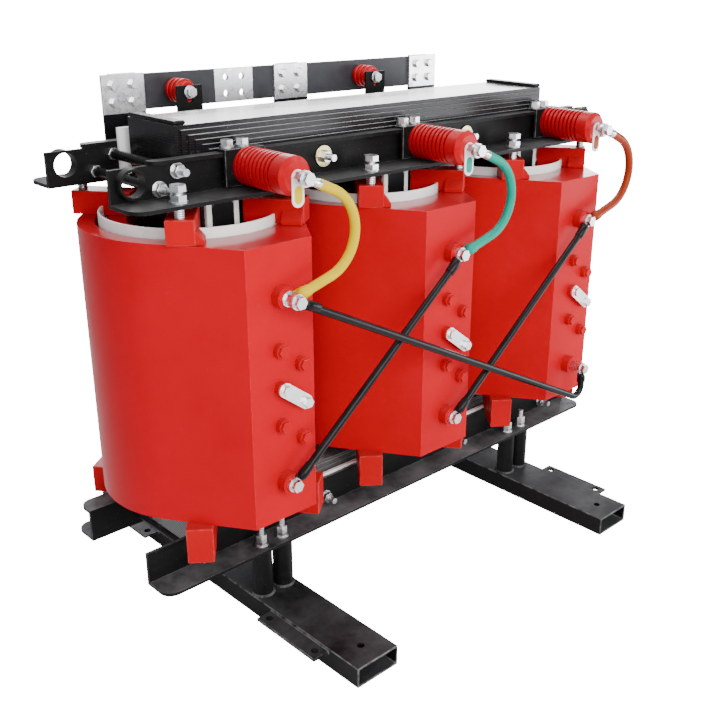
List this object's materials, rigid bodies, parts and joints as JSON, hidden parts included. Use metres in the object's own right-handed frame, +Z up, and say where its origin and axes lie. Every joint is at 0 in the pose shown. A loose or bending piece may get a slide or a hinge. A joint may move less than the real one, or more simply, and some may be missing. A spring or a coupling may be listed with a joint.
{
  "type": "dry-type power transformer",
  "caption": "Three-phase cast-resin dry-type power transformer: red resin coils on a black laminated core held by steel clamps, standing on tube feet.",
  "frame": {"origin": "on the floor under the middle of the core, in the middle of the part seen from above", "axes": "+X along the row of coils, from the coil with the yellow lead to the one with the brown-red lead; +Y from the high-voltage side to the low-voltage side; +Z up"},
  "size_m": [1.208, 0.86, 0.962],
  "materials": {
    "black_paint": "semi-gloss",
    "core_paint": "satin",
    "red_resin": "gloss",
    "red_moulding": "satin",
    "white_board": "matte",
    "zinc_steel": "satin",
    "tinned_bar": "satin",
    "black_sleeve": "satin",
    "yellow_sleeve": "satin",
    "green_sleeve": "satin",
    "brown_red_sleeve": "satin"
  },
  "bodies": {
    "root": {"core_bottom_yoke": "core_paint", "core_limbs": "core_paint", "core_top_yoke": "core_paint", "core_boards": "white_board", "lv_coil_a": "red_resin", "lv_coil_b": "red_resin", "lv_coil_c": "red_resin", "hv_coil_a": "red_resin", "hv_coil_b": "red_resin", "hv_coil_c": "red_resin", "barrier_tubes": "white_board", "bottom_support_blocks": "red_moulding", "top_press_blocks": "red_moulding", "bottom_clamp_front": "black_paint", "bottom_clamp_rear": "black_paint", "top_clamp_front": "black_paint", "top_clamp_rear": "black_paint", "tie_plates": "black_paint", "tie_plate_strips": "white_board", "clamp_tie_rods": "zinc_steel", "tie_rod_sleeves": "black_paint", "yoke_bolts": "zinc_steel", "coil_press_bolts": "zinc_steel", "foot_left": "black_paint", "foot_right": "black_paint", "foot_posts": "black_paint", "foot_studs": "zinc_steel", "hv_brackets": "black_paint", "hv_insulator_a": "red_moulding", "hv_insulator_b": "red_moulding", "hv_insulator_c": "red_moulding", "phase_tag_a": "yellow_sleeve", "phase_tag_b": "green_sleeve", "phase_tag_c": "brown_red_sleeve", "hv_lead_a": "yellow_sleeve", "hv_lead_b": "green_sleeve", "hv_lead_c": "brown_red_sleeve", "delta_rod_a_c": "black_sleeve", "delta_rod_b_a": "black_sleeve", "delta_rod_c_b": "black_sleeve", "terminal_bolts": "zinc_steel", "tap_links": "zinc_steel", "lv_neutral_bar": "black_sleeve", "lv_neutral_risers": "tinned_bar", "lv_phase_bars": "tinned_bar", "lv_bar_insulators": "red_moulding", "lv_bar_brackets": "black_paint"}
  },
  "joints": []
}
